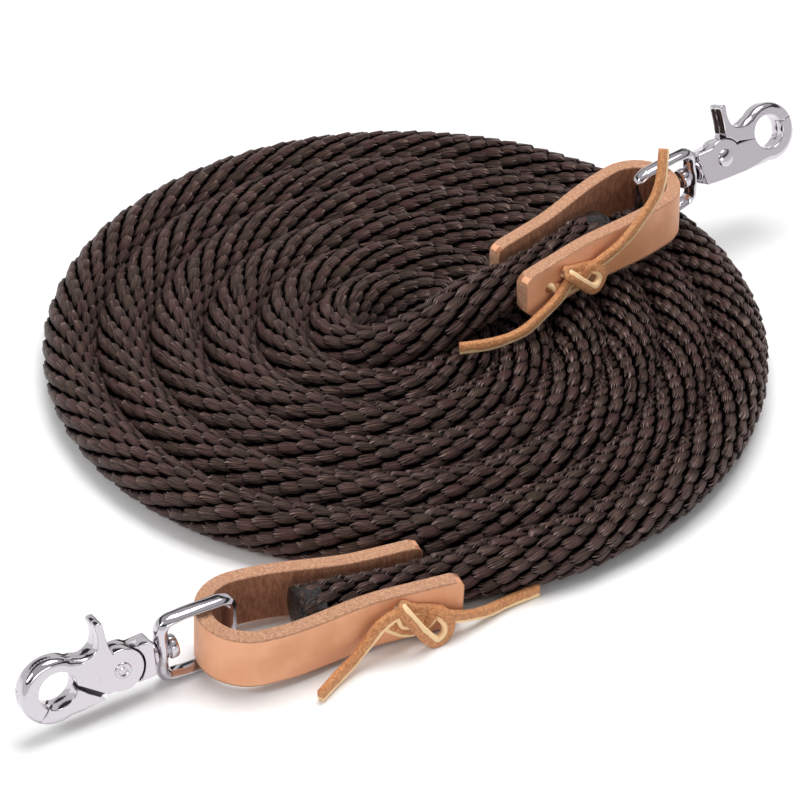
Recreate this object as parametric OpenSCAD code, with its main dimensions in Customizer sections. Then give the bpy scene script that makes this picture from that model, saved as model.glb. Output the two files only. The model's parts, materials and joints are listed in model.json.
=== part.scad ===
// Braided rope reins with leather ends and swivel trigger snaps, lying in one flat coil.

/* [Rope] */
// Diameter of the braided rope
rope_d = 16; // [14:0.5:18]
// Number of turns in the flat coil
coil_turns = 6; // [4:1:7]

/* [Leather end] */
// Width of the leather strap, which stands on its edge
strap_w = 16; // [15:0.5:16]
// Thickness of the leather
strap_t = 4.2; // [3.5:0.1:4.5]
// Length of the folded loop along its longer leg
loop_len = 72; // [70:1:76]
// How much shorter the leg without the knot is
leg_stagger = 5; // [3:1:6]
// Half widths of the left and right loops at their widest, to the outside of the leather
loop_half_w = [14.5, 13.5]; // [13:0.5:15]
// Half width of the loop where it grips the rope, to the outside
grip_half_w = 10.4; // [10.2:0.1:11]

/* [Thong] */
// Width of the leather thong
thong_w = 3.6; // [3:0.1:4]
// Thickness of the leather thong
thong_t = 2.2; // [1.8:0.1:2.4]

/* [Snap] */
// Thickness of the snap's body
snap_t = 6.2; // [6:0.2:7]
// Radius of the ring's opening
ring_r = 5.4; // [5.2:0.1:5.6]
// Radius of the pivot discs
disc_r = 6.1; // [6:0.1:6.2]
// Height inside the swivel eye
eye_inner_h = 17.6; // [17.4:0.1:18]
// Thickness of the swivel eye's limbs
limb_t = 2.3; // [2.2:0.1:2.6]
// Overall length of the swivel eye
eye_len = 24; // [23.5:0.5:25]

/* [Hidden] */

rope_r = rope_d / 2;
// Where the middle of the coil is, so that the origin is under the middle of the two ends
coil_pos = [-16.2, 41.7, 0];
// The coil's outside: it is a spiral, so its middle is a little off the middle of its turns
coil_off = [4, 6, 0];
coil_r = (coil_turns + 0.6) * rope_d;
coil_hole_r = 9.5;

// The two ends: where the bend's outside is, measured from the coil's middle, the way that the
// snap points, how far the snap swings off the loop's line, how far it leans, the knot's side, the
// loop's half width, how far the snap points upwards and how far off the loop's middle it hangs
LEFT = [[-51, -138.5, 0.2], 203, 8, 12, 1, loop_half_w[0], 2, -3];
RIGHT = [[86, 51, rope_d + 1], 43, -8, -26, -1, loop_half_w[1], 8, 1.5];

// Height of the snap's axis above what its eye rests on
eye_h = eye_inner_h + 2 * limb_t;
axis_z = eye_h / 2;
// The loop tips down from the eye to the leg ends
strap_lift = axis_z - strap_w / 2 + 0.3;
tilt = atan(strap_lift / loop_len);
// Middle of the eye's end limb, inside the bend
hinge_u = 10.5;
end_limb_t = 4.2;
bar_t = 3.45;
// From the eye's end limb to the trigger's pivot
pivot_from_hinge = 32.5;
eye_end_x = -pivot_from_hinge - end_limb_t / 2;
bar_x = eye_end_x + eye_len - bar_t;
hole_near = 48;
hole_far = 62;
hole_r = 2;
pin_r = 2;
pin_gap = 0.05;
gap = 0.1;
ring_c = [18.2, 0.8];
rim_c = [18.9, 0.4];
rim_r = 9.3;

// Routes of the rope's free stretches from the coil's middle: x, y, z and half width
outer_route = [
    [-24, -127, 10, 7.6], [-14, -123, 10, 7.3], [-2, -118, 9, 6.1], [9, -113, 8.5, 6.1],
    [20, -108, 8, 6.6], [31, -104, 8, 7.9], [43, -99, 8, 8], [55, -92, 8, 8], [69, -82, 8, 8]
];
inner_route = [
    [-18, 5, 8, 8], [-17, -4, 8.5, 8], [-11, -10, 9.5, 8], [-2, -12, 12, 8], [7, -12, 16, 8],
    [16, -9, 20.5, 8], [25, -3.5, 23.8, 7.9], [34, 3, 24.2, 6.6], [43, 10.5, 24.5, 6.1],
    [51, 18, 24.8, 6.1], [58, 25, 24.8, 7.3], [64, 30, 24.6, 7.6]
];
// Tails of the thongs in each loop's own frame: distance back from the bend, across, and height
left_tail_a = [[56, 13, 11], [52, 13.5, 13.5], [47, 13.5, 11], [43, 14, 7], [38, 16, 4], [32, 19, 2.5], [26, 23, 2]];
left_tail_b = [[60, 13.5, 9], [66, 13.5, 8], [72, 12.5, 5], [79, 11, 3], [86, 9, 2.2], [96, 7.5, 2]];
right_tail_a = [[56, -13.5, 8], [62, -13.5, 6], [70, -14, 3.5], [78, -14.5, 2.2], [88, -12.5, 2], [97, -7.5, 2]];
right_tail_b = [[50, -13.5, 9], [44, -13.5, 11], [36, -15, 15], [28, -15.5, 21], [21, -15, 28], [16, -11.5, 38]];

function smooth(t) = t * t * (3 - 2 * t);
function clamp01(t) = max(0, min(1, t));
function unit(v) = v / norm(v);
function catmull(p, q, r, s, t) = 0.5 * (2 * q + (r - p) * t + (2 * p - 5 * q + 4 * r - s) * t * t
    + (3 * q - p - 3 * r + s) * t * t * t);
function curve(pts, cuts) = let (n = len(pts) - 1) [
    for (i = [0 : n - 1], k = [0 : cuts - 1])
        catmull(pts[max(i - 1, 0)], pts[i], pts[i + 1], pts[min(i + 2, n)], k / cuts),
    pts[n]
];

// Half width of the loop's centre line at a distance u back from the bend
function half_at(u, half_w) = let (wide = half_w - strap_t / 2, grip = grip_half_w - strap_t / 2)
    wide + (grip - wide) * smooth(clamp01((u - 18) / 32));
function leg_points(side, length, half_w) = [
    for (k = [0 : 12]) let (u = length + (half_w - length) * k / 12) [-u, side * half_at(u, half_w)]
];
function bend_points(half_w) = let (r = half_w - strap_t / 2) [
    for (a = [80 : -10 : -80]) [-half_w + r * cos(a), r * sin(a)]
];
function reversed(list) = [for (i = [len(list) - 1 : -1 : 0]) list[i]];
function offset_line(pts, d) = let (n = len(pts) - 1) [
    for (i = [0 : n]) let (t = unit(pts[min(i + 1, n)] - pts[max(i - 1, 0)])) pts[i] + d * [-t[1], t[0]]
];

// A closed tube with an oval section along a route of [x, y, z, half width]
module sweep(route, half_h, sides, cuts) {
    pts = curve(route, cuts);
    n = len(pts) - 1;
    rings = [
        for (i = [0 : n]) let (
            c = [pts[i][0], pts[i][1], pts[i][2]],
            step = pts[min(i + 1, n)] - pts[max(i - 1, 0)],
            along = unit([step[0], step[1], step[2]]),
            side = unit(cross(along, [0, 0, 1])),
            up = cross(side, along)
        )
        for (k = [0 : sides - 1]) let (a = 360 * k / sides)
            c + pts[i][3] * cos(a) * side + half_h * sin(a) * up
    ];
    walls = [
        for (i = [0 : n - 1], k = [0 : sides - 1]) let (m = (k + 1) % sides)
            [i * sides + k, i * sides + m, (i + 1) * sides + m, (i + 1) * sides + k]
    ];
    first = [for (k = [sides - 1 : -1 : 0]) k];
    last = [for (k = [0 : sides - 1]) n * sides + k];
    polyhedron(rings, concat(walls, [first, last]));
}

// Puts what follows at the coil's place, and then in an end's own frame: +X points along the
// loop towards its snap, and the origin is under the outside of the bend
module at_coil() { translate(coil_pos) children(); }
module at_end(e) { at_coil() translate(e[0]) rotate([0, 0, e[1]]) children(); }
module tipped() { translate([-loop_len, 0, 0]) rotate([0, -tilt, 0]) translate([loop_len, 0, 0]) children(); }
// How far the eye's end limb drops when the eye points up, so that it stays clear of the bend
function limb_drop(upward) = (hinge_u - strap_t / 2) * tan(upward);
// The eye's frame: its origin is where the trigger pivots, with +Z up and +X away from the loop
module at_eye(e) {
    at_end(e) translate([-hinge_u, e[7], axis_z - limb_drop(e[6])]) rotate([0, -e[6], 0]) rotate([0, 0, e[2]])
        translate([pivot_from_hinge, 0, 0]) children();
}
module at_snap(e) { at_eye(e) rotate([e[3], 0, 0]) children(); }
// A flat shape in the XZ plane, from y0 to y1
module plate(y0, y1) { rotate([90, 0, 0]) translate([0, 0, -y1]) linear_extrude(y1 - y0) children(); }
module across(y0, y1, r) { translate([0, y0, 0]) rotate([-90, 0, 0]) cylinder(h = y1 - y0, r = r, $fn = 48); }
module along(x0, x1, r) { translate([x0, 0, 0]) rotate([0, 90, 0]) cylinder(h = x1 - x0, r = r, $fn = 48); }

module rope_coil() {
    color([0.16, 0.10, 0.09]) at_coil() translate(coil_off) rotate_extrude($fn = 96) {
        translate([coil_hole_r + rope_r, 0]) square([coil_r - coil_hole_r - rope_d, rope_d]);
        translate([coil_hole_r + rope_r, rope_r]) circle(r = rope_r, $fn = 48);
        translate([coil_r - rope_r, rope_r]) circle(r = rope_r, $fn = 48);
    }
}

module rope_outer_lead() { color([0.16, 0.10, 0.09]) at_coil() sweep(outer_route, rope_r, 12, 2); }
module rope_inner_lead() { color([0.16, 0.10, 0.09]) at_coil() sweep(inner_route, rope_r, 12, 2); }

// A leather loop: one strap folded round, with rounded corners at its two ends
module strap(e) {
    legs = e[4] > 0 ? [loop_len, loop_len - leg_stagger] : [loop_len - leg_stagger, loop_len];
    line = concat(leg_points(1, legs[0], e[5]), bend_points(e[5]), reversed(leg_points(-1, legs[1], e[5])));
    corners = [6.5, 3];
    at_end(e) tipped() difference() {
        linear_extrude(strap_w) polygon(concat(
            offset_line(line, strap_t / 2), reversed(offset_line(line, -strap_t / 2))));
        for (side = [0, 1], edge = [0, 1])
            translate([-legs[side], side == 0 ? 0 : -20, edge * strap_w])
                mirror([0, 0, edge]) plate(0, 20) corner_waste(corners[edge]);
        for (u = [hole_near, hole_far]) translate([-u, 0, strap_w / 2]) across(-20, 20, hole_r);
    }
}
module corner_waste(r) {
    difference() {
        translate([-1, -1]) square(r + 1);
        translate([r, r]) circle(r = r, $fn = 48);
    }
}

// A thong: two passes through the loop and the rope, a run behind, a knot in front, and two tails
module thong(e, tail_a, tail_b) {
    s = e[4];
    r = thong_w / 2 - gap;
    out = grip_half_w;
    knot_u = (hole_near + hole_far) / 2;
    at_end(e) {
        tipped() translate([0, 0, strap_w / 2]) {
            for (u = [hole_near, hole_far])
                translate([-u, 0, 0]) across(-out - gap - thong_t, out + gap + thong_t, r);
            translate([-hole_far, s > 0 ? -out - gap - thong_t : out + gap, -r])
                cube([hole_far - hole_near, thong_t, 2 * r]);
            translate([-hole_far, s > 0 ? out + gap : -out - gap - thong_t, -r])
                cube([hole_far - hole_near, thong_t, 2 * r]);
            translate([-knot_u - 1, 0, 0])
                across(s > 0 ? out + gap : -out - gap - 2 * thong_t, s > 0 ? out + gap + 2 * thong_t : -out - gap, thong_w);
        }
        for (tail = [tail_a, tail_b])
            sweep([for (p = tail) [-p[0], p[1], p[2], thong_t / 2]], thong_w / 2, 8, 3);
    }
}

// The eye: a flat bar with the swivel's bore, two limbs and a rounded end inside the bend
module swivel_eye(e) {
    r = 6;
    r_in = r - limb_t;
    half_y = 2.4;
    at_eye(e) difference() {
        union() {
            plate(-half_y, half_y) difference() {
                rounded_box(eye_end_x, eye_end_x + eye_len, eye_h, r);
                rounded_box(eye_end_x + end_limb_t, bar_x, eye_inner_h, r_in);
            }
            // The round bearing face on which the eye swings in the bend
            translate([-pivot_from_hinge, 0, r_in - eye_inner_h / 2])
                cylinder(h = eye_inner_h - 2 * r_in, r = half_y + 0.05, $fn = 48);
        }
        along(bar_x - 1, bar_x + bar_t + 1, pin_r + pin_gap);
    }
}
module rounded_box(x0, x1, h, r) {
    translate([x0, r - h / 2]) square([x1 - x0, h - 2 * r]);
    translate([x0 + r, -h / 2]) square([x1 - x0 - 2 * r, h]);
    for (x = [x0 + r, x1 - r], z = [r - h / 2, h / 2 - r]) translate([x, z]) circle(r = r, $fn = 48);
}

// The rim of the jaws' ring from one angle to another
function rim(a0, a1) = [for (k = [0 : 10]) let (a = a0 + (a1 - a0) * k / 10) rim_c + rim_r * [cos(a), sin(a)]];
function disc(r, a0, a1) = [for (k = [0 : 12]) let (a = a0 + (a1 - a0) * k / 12) r * [cos(a), sin(a)]];
module ring_bore() { translate([ring_c[0], 0, ring_c[1]]) across(-snap_t, snap_t, ring_r); }

// The fixed jaw: a tail for the swivel, half a disc at the pivot, the lower jaw and its lap
module snap_body(e) {
    half = snap_t / 2;
    tail = [[-8.5, -5.2], [-9.3, -4.4], [-9.3, 4.4], [-8.5, 5.2]];
    corner = [5, -5.8];
    back = concat(tail, disc(disc_r, 125, 20), [[12.8, 0.5], ring_c], rim(10.5, -110), [corner], disc(disc_r, -60, -125));
    at_snap(e) difference() {
        union() {
            plate(-half, -gap) polygon(back);
            plate(-gap, half) polygon(concat(tail, disc(disc_r + 0.3, 127, 233)));
            plate(-gap, half) polygon(concat([corner, [12.4, 0], ring_c], rim(-56, -110)));
        }
        ring_bore();
        across(-half - 1, half + 1, pin_r);
        across(-1.5, 1, 4.6);
        along(-12, -6.5, pin_r);
    }
}

// The moving jaw: half a disc at the pivot, the thumb lever, the upper jaw and its lap
module trigger(e) {
    half = snap_t / 2;
    lever = [[3, 9], [3.4, 12.5], [3.6, 15.2], [4.6, 15.9], [6, 15.5], [5.5, 13.4],
             [5.2, 11], [5.4, 9], [6.6, 7.9], [9, 7.7]];
    front = concat(disc(disc_r, -62, -292), lever, rim(125, -54), [ring_c, [12.3, 0.3], [4.9, -5.55]]);
    back = concat([[2.6, 6.5]], lever, rim(125, 12), [ring_c, [12.5, 0.9], [6.6, 2.8]], disc(disc_r + 0.3, 25, 64));
    at_snap(e) difference() {
        union() {
            plate(gap, half) polygon(front);
            plate(-half, gap) polygon(back);
        }
        ring_bore();
        across(-1, half + 1, pin_r + pin_gap);
        across(-1, 1.5, 4.6);
    }
}

module pivot_pin(e) {
    half = snap_t / 2;
    at_snap(e) {
        across(-half - 0.4, half + 0.6, pin_r);
        across(half + 0.15, half + 0.6, pin_r + 0.6);
    }
}

module swivel_rivet(e) {
    at_snap(e) {
        along(bar_x - 0.3, -6.6, pin_r);
        along(bar_x - 2.6, bar_x - 0.2, 3.3);
    }
}

module swivel_washer(e) {
    at_snap(e) difference() {
        along(bar_x + bar_t + 0.15, -9.45, 3.4);
        along(bar_x + bar_t, -9, pin_r + pin_gap);
    }
}

// The torsion spring: a coil of wire round the pin, in the pocket between the two halves
module trigger_spring(e) {
    wire_r = 0.35;
    turns = 3;
    coil = [
        for (a = [0 : 45 : 360 * turns]) [3 * cos(a), 3 * sin(a), -1.1 + 2.2 * a / (360 * turns), wire_r]
    ];
    at_snap(e) rotate([-90, 0, 0]) sweep(coil, wire_r, 6, 1);
}

module left_strap() { color([0.86, 0.62, 0.42]) strap(LEFT); }
module left_thong() { color([0.80, 0.58, 0.36]) thong(LEFT, left_tail_a, left_tail_b); }
module left_swivel_eye() { color([0.78, 0.78, 0.80]) swivel_eye(LEFT); }
module left_snap_body() { color([0.76, 0.76, 0.78]) snap_body(LEFT); }
module left_swivel_rivet() { color([0.70, 0.70, 0.72]) swivel_rivet(LEFT); }
module left_swivel_washer() { color([0.70, 0.70, 0.72]) swivel_washer(LEFT); }
module left_trigger() { color([0.80, 0.80, 0.82]) trigger(LEFT); }
module left_pivot_pin() { color([0.66, 0.66, 0.68]) pivot_pin(LEFT); }
module left_trigger_spring() { color([0.60, 0.60, 0.62]) trigger_spring(LEFT); }
module right_strap() { color([0.86, 0.62, 0.42]) strap(RIGHT); }
module right_thong() { color([0.80, 0.58, 0.36]) thong(RIGHT, right_tail_a, right_tail_b); }
module right_swivel_eye() { color([0.78, 0.78, 0.80]) swivel_eye(RIGHT); }
module right_snap_body() { color([0.76, 0.76, 0.78]) snap_body(RIGHT); }
module right_swivel_rivet() { color([0.70, 0.70, 0.72]) swivel_rivet(RIGHT); }
module right_swivel_washer() { color([0.70, 0.70, 0.72]) swivel_washer(RIGHT); }
module right_trigger() { color([0.80, 0.80, 0.82]) trigger(RIGHT); }
module right_pivot_pin() { color([0.66, 0.66, 0.68]) pivot_pin(RIGHT); }
module right_trigger_spring() { color([0.60, 0.60, 0.62]) trigger_spring(RIGHT); }

rope_coil();
rope_outer_lead();
rope_inner_lead();
left_strap();
left_thong();
left_swivel_eye();
left_snap_body();
left_swivel_rivet();
left_swivel_washer();
left_trigger();
left_pivot_pin();
left_trigger_spring();
right_strap();
right_thong();
right_swivel_eye();
right_snap_body();
right_swivel_rivet();
right_swivel_washer();
right_trigger();
right_pivot_pin();
right_trigger_spring();
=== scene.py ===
"""Braided rope reins: a flat coil of solid braid, two folded leather ends and two swivel trigger snaps.

Every length is in metres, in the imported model's frame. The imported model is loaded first, and each
piece here rides on one of its bodies.
"""

import json
import logging
import math
from dataclasses import dataclass, field
from enum import Enum
from typing import Iterable, Sequence

import bmesh
import bpy
import numpy as np
from mathutils import Matrix, Vector


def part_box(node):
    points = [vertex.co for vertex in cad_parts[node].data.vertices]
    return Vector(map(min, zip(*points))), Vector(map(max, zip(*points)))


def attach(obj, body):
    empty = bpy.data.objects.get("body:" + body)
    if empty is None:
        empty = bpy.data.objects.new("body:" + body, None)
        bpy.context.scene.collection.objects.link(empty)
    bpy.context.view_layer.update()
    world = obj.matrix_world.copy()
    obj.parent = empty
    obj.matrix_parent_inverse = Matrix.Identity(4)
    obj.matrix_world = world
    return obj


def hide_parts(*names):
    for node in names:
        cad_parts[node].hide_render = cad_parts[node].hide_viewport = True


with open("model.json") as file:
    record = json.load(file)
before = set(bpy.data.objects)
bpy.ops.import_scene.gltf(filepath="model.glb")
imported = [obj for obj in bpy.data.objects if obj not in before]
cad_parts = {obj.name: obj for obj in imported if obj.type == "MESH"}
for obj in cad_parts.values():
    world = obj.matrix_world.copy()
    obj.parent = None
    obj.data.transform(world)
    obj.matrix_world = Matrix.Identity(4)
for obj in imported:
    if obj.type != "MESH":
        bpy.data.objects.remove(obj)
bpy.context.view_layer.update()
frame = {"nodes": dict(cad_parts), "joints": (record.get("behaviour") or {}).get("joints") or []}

LOG = logging.getLogger("reins")
MM = 0.001
UP = Vector((0.0, 0.0, 1.0))
# The box of the coil's solid is a little off the middle of its turns
SPIRAL_OFFSET = Vector((4.0, 6.0, 0.0)) * MM


# ---------------------------------------------------------------- curves and frames


def smoothstep(t: float) -> float:
    """Ease from 0 to 1 with no slope at either end."""
    t = min(1.0, max(0.0, t))
    return t * t * (3.0 - 2.0 * t)


def catmull_rom(points: np.ndarray, cuts: int) -> np.ndarray:
    """Draw a smooth line through control points.

    Args:
        points: One row of numbers for each control point.
        cuts: How many steps there are between two control points.

    Returns:
        The points along the line, the last control point included.
    """
    padded = np.vstack([points[:1], points, points[-1:]])
    t = np.linspace(0.0, 1.0, cuts, endpoint=False)[:, None]
    out = []
    for i in range(len(points) - 1):
        p, q, r, s = padded[i : i + 4]
        out.append(
            0.5 * (2 * q + (r - p) * t + (2 * p - 5 * q + 4 * r - s) * t**2 + (3 * q - p - 3 * r + s) * t**3)
        )
    return np.vstack(out + [points[-1:]])


def resample(points: np.ndarray, step: float) -> tuple[np.ndarray, np.ndarray]:
    """Space a line's points evenly.

    Args:
        points: The line, with its place in the first three columns.
        step: The distance wanted between two points.

    Returns:
        The new rows, and the distance of each along the line.
    """
    gaps = np.linalg.norm(np.diff(points[:, :3], axis=0), axis=1)
    along = np.concatenate([[0.0], np.cumsum(gaps)])
    at = np.linspace(0.0, along[-1], int(round(along[-1] / step)) + 1)
    rows = np.stack([np.interp(at, along, points[:, k]) for k in range(points.shape[1])], axis=1)
    return rows, at


def rotation(axis: str, degrees: float) -> Matrix:
    """Turn about one of the axes X, Y and Z."""
    return Matrix.Rotation(math.radians(degrees), 4, axis)


# ---------------------------------------------------------------- materials


class Shader:
    """A node material that is put together one node at a time."""

    def __init__(self, name: str) -> None:
        """Start a material that holds only its principled shader."""
        self.material = bpy.data.materials.new(name)
        self.material.use_nodes = True
        self.tree = self.material.node_tree
        self.surface = self.tree.nodes["Principled BSDF"]

    def node(self, kind: str, settings: dict | None = None, **inputs) -> bpy.types.Node:
        """Add a node.

        Args:
            kind: The node's type, such as ShaderNodeMath.
            settings: The node's own properties.
            **inputs: Values or sockets for its inputs, by name with _ for a space, or as i0, i1.

        Returns:
            The new node.
        """
        made = self.tree.nodes.new(kind)
        for key, value in (settings or {}).items():
            setattr(made, key, value)
        for key, value in inputs.items():
            by_place = key[0] == "i" and key[1:].isdigit()
            socket = made.inputs[int(key[1:]) if by_place else key.replace("_", " ")]
            self.feed(socket, value)
        return made

    def feed(self, socket: bpy.types.NodeSocket, value) -> None:
        """Link a socket to another, or set its value."""
        if isinstance(value, bpy.types.NodeSocket):
            self.tree.links.new(value, socket)
        else:
            socket.default_value = value

    def surface_set(self, **inputs) -> None:
        """Feed the principled shader's inputs, by name with _ for a space."""
        for key, value in inputs.items():
            self.feed(self.surface.inputs[key.replace("_", " ")], value)

    def math(self, operation: str, a, b=0.0) -> bpy.types.NodeSocket:
        """Work out one number from two."""
        return self.node("ShaderNodeMath", {"operation": operation}, i0=a, i1=b).outputs[0]

    def fade(self, value, low: float, high: float) -> bpy.types.NodeSocket:
        """Ease a value from 0 at low to 1 at high."""
        made = self.node("ShaderNodeMapRange", {"interpolation_type": "SMOOTHSTEP"}, Value=value)
        made.inputs["From Min"].default_value = low
        made.inputs["From Max"].default_value = high
        return made.outputs["Result"]

    def mix(self, factor, a, b, blend: str = "MIX") -> bpy.types.NodeSocket:
        """Blend two colours."""
        made = self.node("ShaderNodeMix", {"data_type": "RGBA", "blend_type": blend}, i0=factor, i6=a, i7=b)
        return made.outputs[2]

    def coordinates(self, scale: Sequence[float], uv: str = "") -> bpy.types.NodeSocket:
        """Give scaled coordinates: the object's own, or those of a UV map."""
        if uv:
            source = self.node("ShaderNodeUVMap", {"uv_map": uv}).outputs[0]
        else:
            source = self.node("ShaderNodeTexCoord").outputs["Object"]
        return self.node("ShaderNodeMapping", Vector=source, Scale=tuple(scale)).outputs[0]

    def noise(self, vector, scale: float, detail: float = 3.0, rough: float = 0.5) -> bpy.types.NodeSocket:
        """Give a noise value at each point of a vector field."""
        made = self.node("ShaderNodeTexNoise", Vector=vector, Scale=scale, Detail=detail, Roughness=rough)
        return made.outputs[0]

    def attribute(self, name: str) -> bpy.types.NodeSocket:
        """Read a number that the mesh holds."""
        return self.node("ShaderNodeAttribute", {"attribute_name": name}).outputs["Fac"]

    def bump(self, height, distance: float, strength: float = 1.0, normal=None) -> bpy.types.NodeSocket:
        """Turn a height into a bumped normal."""
        made = self.node("ShaderNodeBump", Height=height, Distance=distance, Strength=strength)
        if normal is not None:
            self.feed(made.inputs["Normal"], normal)
        return made.outputs[0]


Colour = tuple[float, float, float, float]


@dataclass(frozen=True)
class BraidFinish:
    """Dark brown multifilament yarn with a reddish sheen, painted shade darkening it to black down between
    the stitches, and a painted highlight and glint at each stitch's raised end.
    """

    # Painted shade: the near-black colour of the gaps between the stitches
    deep: Colour = (0.0015, 0.0010, 0.0010, 1.0)
    dark: Colour = (0.0085, 0.0044, 0.0038, 1.0)
    light: Colour = (0.155, 0.089, 0.076, 1.0)
    # Painted glint: the bright colour of fibres catching the light at the stitches' raised ends
    tip: Colour = (0.420, 0.300, 0.275, 1.0)
    wine: Colour = (0.080, 0.036, 0.035, 1.0)
    olive: Colour = (0.044, 0.031, 0.020, 1.0)

    def material(self) -> bpy.types.Material:
        """Build the yarn's material from the stitches' own UV map and attributes."""
        s = Shader("rope_yarn")
        crown = s.attribute("crown")
        tint = s.attribute("tint")
        fibres = s.noise(s.coordinates((0.9, 9.0, 1.0), "stitch"), 1.0, 4.0, 0.7)
        strands = s.noise(s.coordinates((0.5, 5.0, 1.0), "stitch"), 1.0, 2.0, 0.5)
        # Painted highlight: each stitch's raised end is mixed towards the light colour, on top of the fibres'
        # own tone
        painted_highlight = s.fade(s.attribute("reach"), 0.9, -1.0)
        fibres_and_painted_highlight = s.math("MULTIPLY", s.fade(fibres, 0.42, 0.60), s.math("ADD", 0.25, painted_highlight))
        yarn = s.mix(fibres_and_painted_highlight, self.dark, self.light)
        yarn = s.mix(s.math("MULTIPLY", s.fade(tint, 0.6, 1.0), 0.5), yarn, self.wine)
        yarn = s.mix(s.math("MULTIPLY", s.fade(tint, 0.4, 0.0), 0.5), yarn, self.olive)
        # Painted shade: the low rim of each stitch dome fades to the near-black deep colour, for the shade
        # between the stitches
        out_of_painted_shade = s.fade(crown, 0.34, 0.86)
        colour = s.mix(out_of_painted_shade, self.deep, yarn)
        # Painted glint: fibres at each stitch's raised end turn bright, as where loose strands catch the
        # light
        painted_glint = s.math("MULTIPLY", s.fade(fibres, 0.50, 0.60), s.fade(s.attribute("reach"), -0.40, -0.75))
        painted_glint = s.math("MULTIPLY", painted_glint, s.fade(crown, 0.10, 0.35))
        colour = s.mix(s.math("MULTIPLY", painted_glint, 0.7), colour, self.tip)
        height = s.math("ADD", fibres, s.math("MULTIPLY", strands, 0.9))
        s.surface_set(Base_Color=colour, Roughness=0.38, Normal=s.bump(height, 0.00075, 1.0))
        s.surface_set(Specular_IOR_Level=s.math("MULTIPLY", out_of_painted_shade, 0.26))
        s.surface_set(Specular_Tint=(1.0, 0.80, 0.76, 1.0))
        return s.material


@dataclass(frozen=True)
class MeltedFinish:
    """The rope's cut ends, melted black and shiny."""

    black: Colour = (0.010, 0.009, 0.009, 1.0)
    brown: Colour = (0.030, 0.018, 0.015, 1.0)

    def material(self) -> bpy.types.Material:
        """Build a wrinkled, shiny black plastic."""
        s = Shader("rope_melted_end")
        blobs = s.noise(s.coordinates((1.0, 1.0, 1.0)), 420.0, 4.0, 0.6)
        colour = s.mix(s.fade(blobs, 0.4, 0.75), self.black, self.brown)
        s.surface_set(Base_Color=colour, Roughness=0.25, Specular_IOR_Level=0.35)
        s.surface_set(Normal=s.bump(blobs, 0.0022, 1.0))
        return s.material


@dataclass(frozen=True)
class LeatherFinish:
    """Undyed harness leather: a smooth grain face, a fuzzy cut edge and a rough, redder flesh side."""

    grain: Colour = (0.80, 0.385, 0.215, 1.0)
    grain_dark: Colour = (0.66, 0.285, 0.13, 1.0)
    edge: Colour = (0.80, 0.47, 0.30, 1.0)
    edge_dark: Colour = (0.38, 0.145, 0.065, 1.0)
    flesh: Colour = (0.52, 0.225, 0.115, 1.0)
    flesh_dark: Colour = (0.30, 0.10, 0.045, 1.0)

    def material(self) -> bpy.types.Material:
        """Build the leather from its own depth and inset attributes."""
        s = Shader("harness_leather")
        place = s.coordinates((1.0, 1.0, 1.0))
        depth = s.attribute("depth")
        inset = s.attribute("inset")
        cloud = s.noise(place, 60.0, 3.0)
        pores = s.noise(place, 1500.0, 3.0, 0.6)
        fuzz = s.noise(place, 3000.0, 5.0, 0.8)
        tufts = s.noise(place, 1200.0, 4.0, 0.7)
        nap = s.noise(s.coordinates((1.0, 1.0, 0.35)), 900.0, 5.0, 0.75)
        grain = s.mix(s.fade(cloud, 0.38, 0.72), self.grain, self.grain_dark)
        grain = s.mix(s.math("MULTIPLY", s.fade(pores, 0.52, 0.78), 0.30), grain, self.grain_dark)
        fibres = s.math("ADD", s.math("MULTIPLY", fuzz, 0.7), s.math("MULTIPLY", tufts, 0.3))
        edge = s.mix(s.fade(fibres, 0.38, 0.64), self.edge_dark, self.edge)
        flesh = s.mix(s.fade(nap, 0.36, 0.66), self.flesh_dark, self.flesh)
        on_grain = s.fade(depth, 0.30, 0.45)
        face = s.mix(on_grain, flesh, grain)
        on_rim = s.fade(inset, 0.00062, 0.00030)
        colour = s.mix(on_rim, face, edge)
        raw = s.math("MAXIMUM", on_rim, s.math("SUBTRACT", 1.0, on_grain))
        pile = s.math("ADD", s.math("MULTIPLY", raw, 0.9), 0.05)
        height = s.math("MULTIPLY", s.math("ADD", nap, fuzz), pile)
        height = s.math("ADD", height, s.math("MULTIPLY", pores, 0.12))
        roughness = s.math("ADD", 0.50, s.math("MULTIPLY", raw, 0.38))
        s.surface_set(Base_Color=colour, Roughness=roughness, Normal=s.bump(height, 0.0006, 0.8))
        s.surface_set(Sheen_Weight=0.12, Sheen_Roughness=0.6, Sheen_Tint=(1.0, 0.82, 0.66, 1.0))
        return s.material


@dataclass(frozen=True)
class LaceFinish:
    """Raw leather lace: a creamy smooth side and a rough orange-tan one."""

    smooth: Colour = (0.86, 0.60, 0.33, 1.0)
    rough: Colour = (0.70, 0.33, 0.13, 1.0)
    dark: Colour = (0.42, 0.15, 0.05, 1.0)

    def material(self) -> bpy.types.Material:
        """Build the lace from its own across attribute and object coordinates."""
        s = Shader("leather_lace")
        place = s.coordinates((1.0, 1.0, 1.0))
        across = s.attribute("across")
        nap = s.noise(place, 1300.0, 5.0, 0.75)
        cloud = s.noise(place, 260.0, 3.0)
        smoothed = s.fade(s.math("ADD", across, s.math("MULTIPLY", cloud, 0.3)), 0.78, 0.86)
        rough = s.mix(s.fade(nap, 0.36, 0.66), self.dark, self.rough)
        colour = s.mix(smoothed, rough, self.smooth)
        height = s.math("MULTIPLY", nap, s.math("SUBTRACT", 1.15, smoothed))
        s.surface_set(Base_Color=colour, Roughness=0.66, Normal=s.bump(height, 0.0006, 0.7))
        s.surface_set(Sheen_Weight=0.10, Sheen_Roughness=0.6, Sheen_Tint=(1.0, 0.82, 0.66, 1.0))
        return s.material


class Polish(Enum):
    """How far a metal piece is polished."""

    MIRROR = 0.07
    BRIGHT = 0.16
    DRAWN = 0.32


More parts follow.
